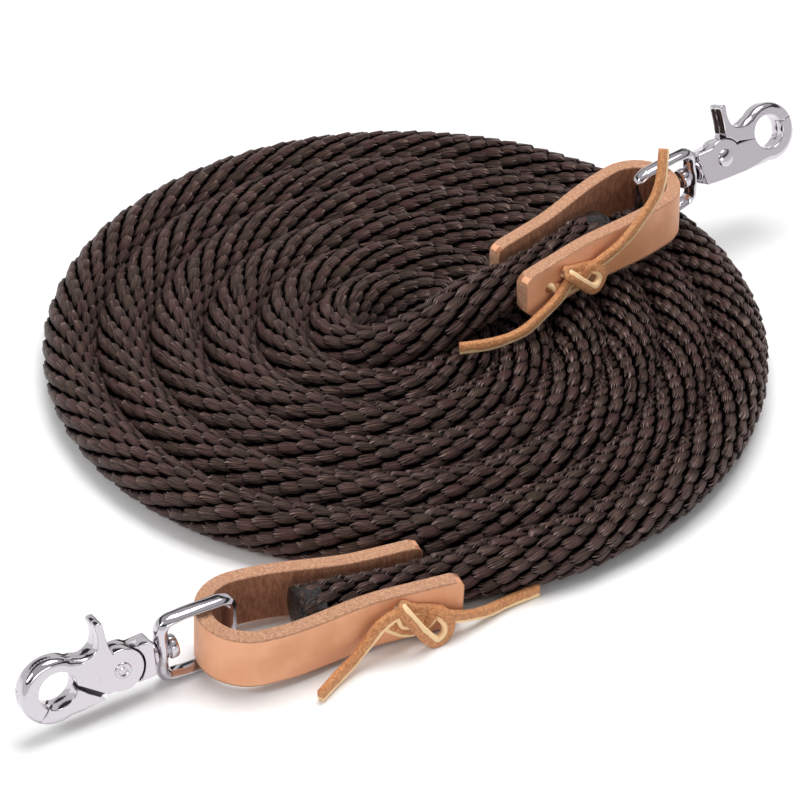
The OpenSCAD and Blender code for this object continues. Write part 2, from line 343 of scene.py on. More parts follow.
@dataclass(frozen=True)
class PlatedFinish:
    """Nickel plate over a die casting."""

    name: str
    polish: Polish
    colour: Colour = (0.60, 0.57, 0.61, 1.0)
    worn: Colour = (0.46, 0.44, 0.48, 1.0)

    def material(self) -> bpy.types.Material:
        """Build the plate with faint casting ripples and wear."""
        s = Shader(self.name)
        place = s.coordinates((1.0, 1.0, 1.0))
        ripple = s.noise(place, 170.0, 2.0)
        specks = s.noise(place, 900.0, 4.0, 0.6)
        colour = s.mix(s.math("MULTIPLY", s.fade(specks, 0.55, 0.8), 0.5), self.colour, self.worn)
        roughness = s.math("ADD", self.polish.value, s.math("MULTIPLY", s.fade(specks, 0.5, 0.8), 0.07))
        height = s.math("ADD", ripple, s.math("MULTIPLY", specks, 0.04))
        s.surface_set(Base_Color=colour, Metallic=1.0, Roughness=roughness)
        s.surface_set(Normal=s.bump(height, 0.00035, 0.5))
        return s.material


# ---------------------------------------------------------------- mesh helpers


def object_of(bm: bmesh.types.BMesh, name: str, materials: Iterable[bpy.types.Material]) -> bpy.types.Object:
    """Turn a finished bmesh into a smooth-shaded object.

    Args:
        bm: The mesh, which is freed.
        name: The name of the object.
        materials: Its material slots.

    Returns:
        The object, linked to the scene, at the origin.
    """
    mesh = bpy.data.meshes.new(name)
    bm.to_mesh(mesh)
    bm.free()
    for material in materials:
        mesh.materials.append(material)
    mesh.polygons.foreach_set("use_smooth", [True] * len(mesh.polygons))
    made = bpy.data.objects.new(name, mesh)
    bpy.context.scene.collection.objects.link(made)
    return made


def loft(
    rings: Sequence[Sequence[Vector]],
    name: str,
    materials: Iterable[bpy.types.Material],
    closed: bool = False,
    marks: dict[str, Sequence[Sequence[float]]] | None = None,
) -> bpy.types.Object:
    """Grow a skin from one ring of points to the next, by extruding its edges.

    Args:
        rings: The rings, each with the same number of points.
        name: The piece's name.
        materials: Its material slots.
        closed: True where the last ring joins the first, False where both ends are capped.
        marks: Numbers for the points to hold, one for each point of each ring, by name.

    Returns:
        The piece.
    """
    bm = bmesh.new()
    layers = {key: bm.verts.layers.float.new(key) for key in (marks or {})}
    size = len(rings[0])
    ring = [bm.verts.new(p) for p in rings[0]]
    edges = [bm.edges.new((ring[k], ring[(k + 1) % size])) for k in range(size)]
    first, first_edges = ring, edges
    grown_rings = [ring]
    for spots in rings[1:]:
        grown = bmesh.ops.extrude_edge_only(bm, edges=edges)["geom"]
        new = {g for g in grown if isinstance(g, bmesh.types.BMVert)}
        edges = [g for g in grown if isinstance(g, bmesh.types.BMEdge) and all(v in new for v in g.verts)]
        ring = [next(e.other_vert(v) for e in v.link_edges if e.other_vert(v) in new) for v in ring]
        for v, p in zip(ring, spots):
            v.co = p
        grown_rings.append(ring)
    for key, layer in layers.items():
        for verts, values in zip(grown_rings, marks[key]):
            for v, value in zip(verts, values):
                v[layer] = value
    if closed:
        bmesh.ops.bridge_loops(bm, edges=edges + first_edges)
    else:
        bm.faces.new(first[::-1])
        bm.faces.new(ring)
    bmesh.ops.recalc_face_normals(bm, faces=bm.faces[:])
    return object_of(bm, name, materials)


def arc(
    centre: Sequence[float], radius: float, start: float, stop: float, steps: int
) -> list[tuple[float, float]]:
    """List the points of a round stretch of an outline, from one angle in degrees to another."""
    angles = np.radians(np.linspace(start, stop, steps + 1))
    return [(centre[0] + radius * math.cos(a), centre[1] + radius * math.sin(a)) for a in angles]


def inset_shifts(outline: Sequence[Sequence[float]], insets: Sequence[float]) -> list[Vector]:
    """Work out how far each corner moves when every edge of an outline moves inwards.

    Args:
        outline: The outline's corners, either way round.
        insets: How far each edge moves, the first being the one that leaves the first corner.

    Returns:
        One flat vector for each corner.
    """
    count = len(outline)
    corners = [Vector(p) for p in outline]
    area = sum(corners[i].cross(corners[(i + 1) % count]) for i in range(count))
    turn = 1.0 if area > 0 else -1.0
    edges = [(corners[(i + 1) % count] - corners[i]).normalized() for i in range(count)]
    inward = [Vector((-e.y, e.x)) * turn for e in edges]
    out = []
    for i in range(count):
        one, two = inward[i - 1], inward[i]
        near, far = insets[i - 1], insets[i]
        lean = one.dot(two)
        if abs(lean) > 0.96:
            out.append((one + two).normalized() * (near + far) / 2)
        else:
            out.append((one * (near - far * lean) + two * (far - near * lean)) / (1 - lean**2))
    return out


def cast_plate(
    outline: Sequence[Sequence[float]],
    faces: tuple[float, float],
    soft: tuple[Sequence[float], Sequence[float]],
    place: Matrix,
    name: str,
    material: bpy.types.Material,
) -> bpy.types.Object:
    """Cast a plate with rounded edges from an outline in the XZ plane.

    Args:
        outline: The outline's corners, x and z in millimetres.
        faces: The y of its two faces, in millimetres.
        soft: For each face, the edge's radius at every corner, in millimetres.
        place: Where the plate goes.
        name: The piece's name.
        material: Its finish.

    Returns:
        The piece.
    """
    near, far = faces
    count = len(outline)
    turns = np.radians([90.0, 67.5, 45.0, 22.5, 0.0])
    # A narrow flat ring inside each rounded edge keeps the flat face's shading flat
    holding = 0.12
    steps = [("near", None)] + [("near", a) for a in turns]
    steps += [("far", a) for a in turns[::-1]] + [("far", None)]
    rings = []
    for which, angle in steps:
        radii = soft[0] if which == "near" else soft[1]
        edge_radii = [min(radii[i], radii[(i + 1) % count]) for i in range(count)]
        if angle is None:
            insets, share = [r + holding for r in edge_radii], 0.0
        else:
            insets, share = [r * (1 - math.cos(angle)) for r in edge_radii], 1 - math.sin(angle)
        ring = []
        for (x, z), shift, radius in zip(outline, inset_shifts(outline, insets), radii):
            y = near + share * radius if which == "near" else far - share * radius
            ring.append(place @ (Vector((x + shift.x, y, z + shift.y)) * MM))
        rings.append(ring)
    return loft(rings, name, [material])


def lathe(
    profile: Sequence[Sequence[float]],
    place: Matrix,
    name: str,
    material: bpy.types.Material,
    steps: int = 40,
) -> bpy.types.Object:
    """Turn a profile about the X axis.

    Args:
        profile: The profile's points, x and radius in millimetres, from one end to the other.
        place: Where the piece goes.
        name: The piece's name.
        material: Its finish.
        steps: How many flats there are round it.

    Returns:
        The piece.
    """
    bm = bmesh.new()
    verts = [bm.verts.new((x * MM, 0.0, r * MM)) for x, r in profile]
    edges = [bm.edges.new(pair) for pair in zip(verts, verts[1:])]
    bmesh.ops.spin(
        bm, geom=verts + edges, cent=(0, 0, 0), axis=(1, 0, 0), angle=2 * math.pi, steps=steps, use_merge=True
    )
    bmesh.ops.remove_doubles(bm, verts=bm.verts[:], dist=0.001 * MM)
    bmesh.ops.transform(bm, matrix=place, verts=bm.verts[:])
    bmesh.ops.recalc_face_normals(bm, faces=bm.faces[:])
    return object_of(bm, name, [material])


def joined(pieces: Sequence[bpy.types.Object], name: str) -> bpy.types.Object:
    """Join several meshes, which share their materials, into one piece."""
    bm = bmesh.new()
    for piece in pieces:
        bm.from_mesh(piece.data)
    materials = list(pieces[0].data.materials)
    for piece in pieces:
        bpy.data.objects.remove(piece)
    return object_of(bm, name, materials)


# ---------------------------------------------------------------- the rope


@dataclass
class Braid:
    """How the solid braid's stitches lie on the rope: rows along it, each set back from the last."""

    rows: int = 21
    turns_per_round: int = 9
    pitch: float = 10.8 * MM
    stitch_length: float = 11.2 * MM
    stitch_width: float = 5.0 * MM
    stitch_rise: float = 1.9 * MM
    lean: float = math.radians(14.0)
    base_radius: float = 6.1 * MM
    # How far each stitch's leading end dives under the next, for each length along it
    tuck: float = 0.17
    # How much fuller each stitch is at its raised end than at its middle
    taper: float = 0.30
    seed: int = 7

    def dome(self) -> tuple[np.ndarray, np.ndarray]:
        """Model one stitch as the upper half of a stretched ball.

        Returns:
            Its points, in stitch lengths, widths and rises, and its triangles.
        """
        bm = bmesh.new()
        bmesh.ops.create_uvsphere(bm, u_segments=10, v_segments=4, radius=1.0)
        bmesh.ops.bisect_plane(
            bm, geom=bm.verts[:] + bm.edges[:] + bm.faces[:], plane_co=(0, 0, -0.01), plane_no=(0, 0, 1),
            clear_inner=True,
        )
        low = [v for v in bm.verts if v.co.z < -0.005]
        bmesh.ops.delete(bm, geom=low, context="VERTS")
        bmesh.ops.triangulate(bm, faces=bm.faces[:])
        bm.verts.index_update()
        points = np.array([v.co for v in bm.verts])
        faces = np.array([[v.index for v in f.verts] for f in bm.faces])
        bm.free()
        return points, faces

    def places(self, length: float) -> tuple[np.ndarray, np.ndarray]:
        """Find every stitch's middle.

        Args:
            length: The rope's length.

        Returns:
            The distances along the rope, and the angles round it.
        """
        count = int(length / self.pitch)
        pitch = length / count
        along, around = [], []
        for row in range(self.rows):
            start = (row * self.turns_per_round / self.rows) % 1.0
            along.append((np.arange(count) + start) * pitch)
            around.append(np.full(count, 2 * math.pi * row / self.rows))
        return np.concatenate(along), np.concatenate(around)


@dataclass
class Rope:
    """The one length of rope: its left end, the flat coil, and its right end over the turns."""

    radius: float = 8.0 * MM
    first_turn: float = 105.1 * MM
    start_angle: float = -60.0
    end_angle: float = 1950.0
    angle_step: float = 15.0
    core_radius: float = 6.4 * MM
    core_step: float = 5.0 * MM
    core_sides: int = 12
    braid: Braid = field(default_factory=Braid)
    # The free ends, from the coil's middle: x, y, z and half width, in millimetres
    outer_route: tuple = (
        (-24, -127, 10, 7.6), (-14, -123, 10, 7.3), (-2, -118, 9, 6.1), (9, -113, 8.5, 6.1),
        (20, -108, 8, 6.6), (31, -104, 8, 7.9), (43, -99, 8, 8),
    )
    inner_route: tuple = (
        (-18, 5, 8, 8), (-17, -4, 8.5, 8), (-11, -10, 9.5, 8), (-2, -12, 12, 8), (7, -12, 16, 8),
        (16, -9, 20.5, 8), (25, -3.5, 23.8, 7.9), (34, 3, 24.2, 6.6), (43, 10.5, 24.5, 6.1),
        (51, 18, 24.8, 6.1), (58, 25, 24.8, 7.3), (64, 30, 24.6, 7.6),
    )

    def __post_init__(self) -> None:
        """Lay the centre line and work out the frame at each of its points."""
        line = self.centre_line()
        self.line, self.along = resample(catmull_rom(line, 24), 1.0 * MM)
        self.length = float(self.along[-1])
        place = self.line[:, :3]
        run = np.gradient(place, axis=0)
        self.tangent = run / np.linalg.norm(run, axis=1)[:, None]
        side = np.cross(self.tangent, np.array(UP))
        self.side = side / np.linalg.norm(side, axis=1)[:, None]
        self.rise = np.cross(self.side, self.tangent)

    def centre_line(self) -> np.ndarray:
        """Join the two free ends and the spiral of the coil into one route."""
        middle = coil_middle()
        angles = np.arange(self.start_angle, self.end_angle, self.angle_step)
        radii = self.first_turn - 2 * self.radius * angles / 360.0
        turns = np.radians(angles)
        level = np.full_like(radii, self.radius)
        spiral = np.stack([radii * np.cos(turns), radii * np.sin(turns), level, level], axis=1)
        outer = np.array(self.outer_route, float) * MM
        inner = np.array(self.inner_route, float) * MM
        line = np.vstack([outer, spiral, inner])
        line[:, :3] += np.array(middle)
        return line

    def rows_at(self, at: np.ndarray, rows: np.ndarray) -> np.ndarray:
        """Read three columns of the centre line's rows at distances along the rope."""
        return np.stack([np.interp(at, self.along, rows[:, k]) for k in range(3)], axis=1)

    def on_surface(self, along: np.ndarray, around: np.ndarray, out: np.ndarray) -> np.ndarray:
        """Turn places on the rope into points in space.

        Args:
            along: Distances along the rope.
            around: Angles round it, from the side towards the top.
            out: Distances from its centre line.

        Returns:
            The points, one row each.
        """
        at = np.clip(along, 0.0, self.length)
        squeeze = np.interp(at, self.along, self.line[:, 3]) / self.radius
        place = self.rows_at(at, self.line)
        side = self.rows_at(at, self.side) * (np.cos(around) * out * squeeze)[:, None]
        rise = self.rows_at(at, self.rise) * (np.sin(around) * out)[:, None]
        return place + side + rise

    def stitches(self) -> dict[str, np.ndarray]:
        """Place a dome for every stitch, each a little different from its neighbours."""
        b = self.braid
        points, faces = b.dome()
        along, around = b.places(self.length)
        rng = np.random.default_rng(b.seed)
        count = len(along)
        size = 1.0 + rng.uniform(-0.06, 0.06, (count, 1))
        lean = b.lean + rng.uniform(-0.07, 0.07, (count, 1))
        lift = rng.uniform(-0.12, 0.12, (count, 1)) * MM
        x = points[None, :, 0] * b.stitch_length / 2 * size
        taper = 1.0 - b.taper * points[None, :, 0]
        y = points[None, :, 1] * b.stitch_width / 2 * size * taper
        rise = points[None, :, 2] * b.stitch_rise * taper + lift - b.tuck * x
        run = x * np.cos(lean) - y * np.sin(lean)
        turn = x * np.sin(lean) + y * np.cos(lean)
        s = along[:, None] + run
        phi = around[:, None] + turn / self.radius
        out = b.base_radius + rise
        places = self.on_surface(s.ravel(), phi.ravel(), out.ravel())
        uv = np.broadcast_to(points[None, :, :2], (*x.shape, 2)) + rng.uniform(0.0, 40.0, (count, 1, 2))
        return {
            "points": places,
            "faces": (faces[None] + np.arange(count)[:, None, None] * len(points)).reshape(-1, 3),
            "crown": np.broadcast_to(points[None, :, 2], x.shape).ravel(),
            "tint": np.broadcast_to(rng.uniform(0.0, 1.0, (count, 1)), x.shape).ravel(),
            "reach": np.broadcast_to(points[None, :, 0], x.shape).ravel(),
            "uv": uv.reshape(-1, 2),
        }

    def core(self) -> dict[str, np.ndarray]:
        """Make the plain tube that closes the gaps between the stitches; with a crown of zero it takes the
        yarn's black painted shade.
        """
        rings = int(self.length / self.core_step)
        along = np.repeat(np.linspace(0.0, self.length, rings), self.core_sides)
        around = np.tile(np.arange(self.core_sides) * 2 * math.pi / self.core_sides, rings)
        points = self.on_surface(along, around, np.full(len(along), self.core_radius))
        first = np.arange((rings - 1) * self.core_sides)
        step = np.where((first + 1) % self.core_sides == 0, 1 - self.core_sides, 1)
        above = first + self.core_sides
        faces = np.stack([first, first + step, above + step, above], axis=1)
        return {"points": points, "faces": faces}

    def build(self, yarn: bpy.types.Material) -> bpy.types.Object:
        """Join the core and the stitches into the rope's one mesh."""
        core, knit = self.core(), self.stitches()
        points = np.vstack([core["points"], knit["points"]])
        # The core's attributes are all zero, so it shows only the black painted shade of the gaps
        flat = np.zeros(len(core["points"]))
        uv = np.vstack([np.zeros((len(flat), 2)), knit["uv"]])
        faces = core["faces"].tolist() + (knit["faces"] + len(flat)).tolist()
        mesh = bpy.data.meshes.new("braided_rope")
        mesh.from_pydata(points.tolist(), [], faces)
        mesh.materials.append(yarn)
        for key in ("crown", "tint", "reach"):
            values = np.concatenate([flat, knit[key]]).astype(np.float32)
            mesh.attributes.new(key, "FLOAT", "POINT").data.foreach_set("value", values)
        corner = np.zeros(len(mesh.loops), np.int32)
        mesh.loops.foreach_get("vertex_index", corner)
        mesh.uv_layers.new(name="stitch").data.foreach_set("uv", uv[corner].astype(np.float32).ravel())
        mesh.polygons.foreach_set("use_smooth", [True] * len(mesh.polygons))
        made = bpy.data.objects.new("braided_rope", mesh)
        bpy.context.scene.collection.objects.link(made)
        return made

    def tip(self, name: str, at_start: bool, melted: bpy.types.Material) -> bpy.types.Object:
        """Model one blunt melted end.

        Args:
            name: The piece's name.
            at_start: True for the left end, False for the right one.
            melted: Its material.

        Returns:
            The piece.
        """
        row = 0 if at_start else -1
        outward = self.tangent[row] * (-1 if at_start else 1)
        half = self.line[row, 3] + 0.4 * MM
        bm = bmesh.new()
        bmesh.ops.create_uvsphere(bm, u_segments=32, v_segments=20, radius=1.0)
        rng = np.random.default_rng(3 if at_start else 4)
        for v in bm.verts:
            x, y, z = v.co
            blunt = math.copysign(abs(z) ** 0.35, z)
            wide = (1 - abs(z) ** 5) ** 0.5 if abs(z) < 1 else 0.0
            ripple = 1 + 0.03 * math.sin(5 * math.atan2(y, x) + 4 * z) + rng.uniform(-0.015, 0.015)
            spread = wide / max(math.hypot(x, y), 1e-6) * ripple
            spot = self.line[row, :3] + outward * (blunt * 4.2 * MM - 2.7 * MM)
            spot = spot + self.side[row] * x * spread * half + self.rise[row] * y * spread * 7.8 * MM
            v.co = Vector(spot)
        bmesh.ops.remove_doubles(bm, verts=bm.verts[:], dist=0.02 * MM)
        bmesh.ops.recalc_face_normals(bm, faces=bm.faces[:])
        return object_of(bm, name, [melted])


def coil_middle() -> Vector:
    """The middle of the coil on the floor, from the box of the solid that stands in for it."""
    low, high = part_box("rope_coil")
    return Vector(((low.x + high.x) / 2, (low.y + high.y) / 2, 0.0)) - SPIRAL_OFFSET


# ---------------------------------------------------------------- the two ends


def joint(name: str) -> dict:
    """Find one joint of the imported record."""
    return next(j for j in frame["joints"] if j["name"] == name)


def axes_matrix(origin: Sequence[float], x: Vector, z: Vector) -> Matrix:
    """Make a frame from its origin, its X axis and a direction near its Z axis."""
    x = Vector(x).normalized()
    y = Vector(z).cross(x).normalized()
    z = x.cross(y)
    turn = Matrix((x, y, z)).transposed().to_4x4()
    return Matrix.Translation(Vector(origin)) @ turn


@dataclass(frozen=True)
class RopeEnd:
    """Where one end of the reins lies and which way it faces."""

    side: str
    # The outside of the bend from the coil's middle, in millimetres, and the loop's heading
    bend: tuple[float, float, float]
    heading: float
    # The side of the loop that the knot is on, and the loop's half width
    knot_side: int
    half_width: float

    def loop(self) -> Matrix:
        """The loop's frame: +X points along it to the snap, and its origin is under the bend."""
        place = coil_middle() + Vector(self.bend) * MM
        return Matrix.Translation(place) @ rotation("Z", self.heading)

    def eye(self) -> Matrix:
        """The swivel eye's frame, with the trigger's pivot at its origin."""
        swivel = joint(self.side + "_swivel")
        swing = joint(self.side + "_eye_swing")
        return axes_matrix(swivel["pos_m"], swivel["axis"], Vector(swing["axis"]))

    def snap(self) -> Matrix:
        """The snap's frame: +X away from the loop, +Z towards the lever, +Y the trigger's side."""
        swivel = joint(self.side + "_swivel")
        opening = joint(self.side + "_trigger_open")
        x = Vector(swivel["axis"])
        return axes_matrix(swivel["pos_m"], x, x.cross(-Vector(opening["axis"])))


@dataclass
class LeatherLoop:
    """A strap folded round the eye, which grips the rope between its legs."""

    end: RopeEnd
    width: float = 16.0 * MM
    thickness: float = 4.2 * MM
    length: float = 72.0 * MM
    leg_stagger: float = 5.0 * MM
    grip_half_width: float = 10.4 * MM
    lift: float = 3.4 * MM
    low_corner: float = 6.5 * MM
    high_corner: float = 3.0 * MM
    holes: tuple[float, float] = (48.0 * MM, 62.0 * MM)
    hole_radius: float = 2.0 * MM
    edge_round: float = 0.55 * MM

    def leg_lengths(self) -> tuple[float, float]:
        """The lengths of the legs on the +Y and -Y sides: the knot's leg is the longer."""
        short = self.length - self.leg_stagger
        return (self.length, short) if self.end.knot_side > 0 else (short, self.length)

    def half_at(self, back: float) -> float:
        """The distance from the loop's middle to the middle of its leather, at a distance back."""
        wide = self.end.half_width - self.thickness / 2
        grip = self.grip_half_width - self.thickness / 2
        return wide + (grip - wide) * smoothstep((back - 18 * MM) / (32 * MM))

    def middle_line(self) -> tuple[np.ndarray, np.ndarray]:
        """Follow the leather's middle from the +Y leg's end, round the bend, to the other leg's end."""
        half = self.end.half_width
        radius = half - self.thickness / 2
        legs = self.leg_lengths()
        first = [(-u, self.half_at(u)) for u in np.linspace(legs[0], half, 40)]
        angles = np.radians(np.arange(84, -85, -6))
        bend = [(-half + radius * math.cos(a), radius * math.sin(a)) for a in angles]
        last = [(-u, -self.half_at(u)) for u in np.linspace(half, legs[1], 40)]
        return resample(np.array([(x, y, 0.0) for x, y in first + bend + last]), 0.5 * MM)

    def tipped(self) -> Matrix:
        """The frame of the leather, which rises a little towards the bend."""
        tilt = math.degrees(math.atan(self.lift / self.length))
        hinge = Matrix.Translation((-self.length, 0, 0))
        return self.end.loop() @ hinge @ rotation("Y", -tilt) @ hinge.inverted()

    def flat_strap(self, total: float) -> bmesh.types.BMesh:
        """Cut the strap flat: rounded corners, eased edges, and four punched holes.

        Args:
            total: The strap's length.

        Returns:
            A bmesh with X along the strap, Y across it and Z from its flesh side to its grain.
        """
        bm = bmesh.new()
        bmesh.ops.create_grid(bm, x_segments=150, y_segments=16, size=1.0)
        for v in bm.verts:
            across = (v.co.y + 1) / 2 * self.width
            low, high = self.low_corner - across, self.high_corner - (self.width - across)
            trim = 0.0
            if low > 0:
                trim = self.low_corner - math.sqrt(self.low_corner**2 - low**2)
            elif high > 0:
                trim = self.high_corner - math.sqrt(self.high_corner**2 - high**2)
            v.co = Vector((trim + (v.co.x + 1) / 2 * (total - 2 * trim), across, 0.0))
        bmesh.ops.remove_doubles(bm, verts=bm.verts[:], dist=0.01 * MM)
        raised = bmesh.ops.extrude_face_region(bm, geom=bm.faces[:])
        tops = [g for g in raised["geom"] if isinstance(g, bmesh.types.BMVert)]
        bmesh.ops.translate(bm, verts=tops, vec=(0, 0, self.thickness))
        bmesh.ops.recalc_face_normals(bm, faces=bm.faces[:])
        rims = [e for e in bm.edges if len(e.link_faces) == 2 and e.calc_face_angle() > 1.2
                and abs(e.verts[0].co.z - e.verts[1].co.z) < 1e-6]
        bmesh.ops.bevel(
            bm, geom=rims, offset=self.edge_round, segments=3, profile=0.5, affect="EDGES", material=-1,
            clamp_overlap=True,
        )
        return bm

    def punches(self, total: float) -> bpy.types.Object:
        """Make the four cylinders that punch the thong's holes."""
        legs = self.leg_lengths()
        bm = bmesh.new()
        for u in self.holes:
            for x in (legs[0] - u, total - (legs[1] - u)):
                place = Matrix.Translation((x, self.width / 2, self.thickness / 2))
                bmesh.ops.create_cone(
                    bm, cap_ends=True, segments=24, radius1=self.hole_radius, radius2=self.hole_radius,
                    depth=3 * self.thickness, matrix=place,
                )
        return object_of(bm, "punches", [])

    def build(self, leather: bpy.types.Material) -> bpy.types.Object:
        """Cut the strap flat, then fold it round and stand it on its edge."""
        line, along = self.middle_line()
        total = float(along[-1])
        flat = object_of(self.flat_strap(total), self.end.side + "_leather_loop", [leather])
        punched = cut_with(flat, self.punches(total))
        run = np.gradient(line[:, :2], axis=0)
        run = run / np.linalg.norm(run, axis=1)[:, None]
        outward = np.stack([-run[:, 1], run[:, 0]], axis=1)
        place = self.tipped()
        mesh = punched.data
        depth, inset = [], []
        for v in mesh.vertices:
            x, across, deep = v.co
            ends = min(x, total - x)
            from_end = ends + 0.2 * MM if ends > 0.1 * MM else 0.0
            inset.append(min(across, self.width - across, from_end))
            depth.append(deep / self.thickness)
            at = [np.interp(x, along, line[:, k]) for k in (0, 1)]
            out = [np.interp(x, along, outward[:, k]) for k in (0, 1)]
            off = deep - self.thickness / 2
            v.co = place @ Vector((at[0] + out[0] * off, at[1] + out[1] * off, across))
        mesh.attributes.new("depth", "FLOAT", "POINT").data.foreach_set("value", depth)
        mesh.attributes.new("inset", "FLOAT", "POINT").data.foreach_set("value", inset)
        return punched


def cut_with(target: bpy.types.Object, tool: bpy.types.Object) -> bpy.types.Object:
    """Cut one mesh out of another, and remove the cutter.

    Args:
        target: The piece that is cut.
        tool: The shape that is taken away.

    Returns:
        The target, with its new mesh.
    """
    change = target.modifiers.new("cut", "BOOLEAN")
    change.operation = "DIFFERENCE"
    change.solver = "EXACT"
    change.object = tool
    bpy.context.view_layer.update()
    result = bpy.data.meshes.new_from_object(target.evaluated_get(bpy.context.evaluated_depsgraph_get()))
    target.modifiers.clear()
    target.data = result
    bpy.data.objects.remove(tool)
    return target


@dataclass
class Lace:
    """The one thong of an end: two tails, a knot, and its passes through the loop and the rope."""

    end: RopeEnd
    loop: LeatherLoop
    tail_towards_bend: tuple
    tail_away: tuple
    # How tall the knot's wrap stands, as a share of the usual
    wrap_height: float = 1.0
    width: float = 3.5 * MM
    thickness: float = 1.9 * MM
    step: float = 0.8 * MM

    # The knot in millimetres: along from the first hole, up from the holes, out from the leather
    UNDER_STRAND = ((3.0, -0.4, 1.3), (6.0, -0.6, 2.0), (8.6, 0.8, 2.6))
    WRAP_STRAND = (
        (11.0, -1.6, 1.1), (8.0, -3.4, 1.4), (4.6, -4.2, 1.3), (1.4, -2.4, 1.5), (-0.8, 0.8, 2.0),
        (-3.0, -0.4, 3.2), (-4.0, -3.0, 3.8), (-3.2, -5.8, 4.0), (-0.6, -7.2, 4.6), (2.0, -5.2, 5.0),
        (5.4, -0.4, 5.2), (8.4, 4.2, 4.4), (9.9, 6.3, 2.6), (8.6, 5.2, 1.2), (5.4, 3.0, 0.9),
        (1.6, 1.6, 0.9), (-2.2, 0.4, 1.2),
    )

    def knot_point(self, point: Sequence[float]) -> Vector:
        """Turn a point of the knot into one in the leather's frame."""
        along, up, out = (c * MM for c in point)
        sign = self.end.knot_side
        if sign > 0:
            back = self.loop.holes[1] - along
        else:
            back = self.loop.holes[0] + along
        face = self.loop.half_at(back) + self.loop.thickness / 2
        return Vector((-back, sign * (face + out), self.loop.width / 2 + up * self.wrap_height))

    def route(self) -> np.ndarray:
        """Lay the whole lace, each row a point and the direction that its smooth side faces."""
        sign = self.end.knot_side
        leather = self.loop.tipped()
        floor = self.end.loop()
        facing = floor.to_3x3() @ Vector((0, sign, 0))
        forward = floor.to_3x3() @ Vector((1, 0, 0))
        first_tail = self.tail_towards_bend if sign > 0 else self.tail_away
        last_tail = self.tail_away if sign > 0 else self.tail_towards_bend
        holes = self.loop.holes if sign > 0 else self.loop.holes[::-1]
        behind = self.loop.half_at(self.loop.holes[0]) + self.loop.thickness / 2 + self.thickness / 2
        mid = self.loop.width / 2
        rows = [(floor @ (Vector((-u, v, z)) * MM), facing) for u, v, z in reversed(first_tail)]
        rows += [(leather @ self.knot_point(p), facing) for p in reversed(self.UNDER_STRAND)]
        for hole, turn in ((holes[1], 1), (holes[0], -1)):
            through = [Vector((-hole, sign * y, mid)) for y in (9.6 * MM, 4 * MM, -4 * MM, -9.6 * MM)]
            corner = Vector((-hole + sign * 1.2 * MM * turn, -sign * behind, mid))
            aim = forward * turn * sign
            passes = [(leather @ p, aim) for p in through] + [(leather @ corner, -facing)]
            rows += passes if turn > 0 else passes[::-1]
        rows += [(leather @ self.knot_point(p), facing) for p in self.WRAP_STRAND]
        rows += [(floor @ (Vector((-u, v, z)) * MM), facing) for u, v, z in last_tail]
        return np.array([list(p) + list(n) for p, n in rows])

    def build(self, lace: bpy.types.Material) -> bpy.types.Object:
        """Sweep a soft-edged flat section along the route."""
        line, along = resample(catmull_rom(self.route(), 16), self.step)
        place = line[:, :3]
        run = np.gradient(place, axis=0)
        run = run / np.linalg.norm(run, axis=1)[:, None]
        hint = line[:, 3:]
        thin = hint - (hint * run).sum(1)[:, None] * run
        thin = thin / np.maximum(np.linalg.norm(thin, axis=1), 1e-6)[:, None]
        wide = np.cross(run, thin)
        # The section in half widths and half thicknesses
        corner = 0.62
        section = [
            (-1, -corner), (-0.86, -1), (0, -1.06), (0.86, -1), (1, -corner), (1.04, 0), (1, corner),
            (0.86, 1), (0, 1.06), (-0.86, 1), (-1, corner), (-1.04, 0),
        ]
        rng = np.random.default_rng(11)
        wander = 1 + 0.06 * np.convolve(rng.normal(0, 1, len(place) + 8), np.ones(9) / 3, mode="valid")
        rings = [
            [
                Vector(spot + wide[i] * a * self.width / 2 * wander[i] + thin[i] * b * self.thickness / 2)
                for a, b in section
            ]
            for i, spot in enumerate(place)
        ]
        across = [[(a + 1) / 2 for a, _ in section]] * len(rings)
        return loft(rings, self.end.side + "_lace", [lace], marks={"across": across})


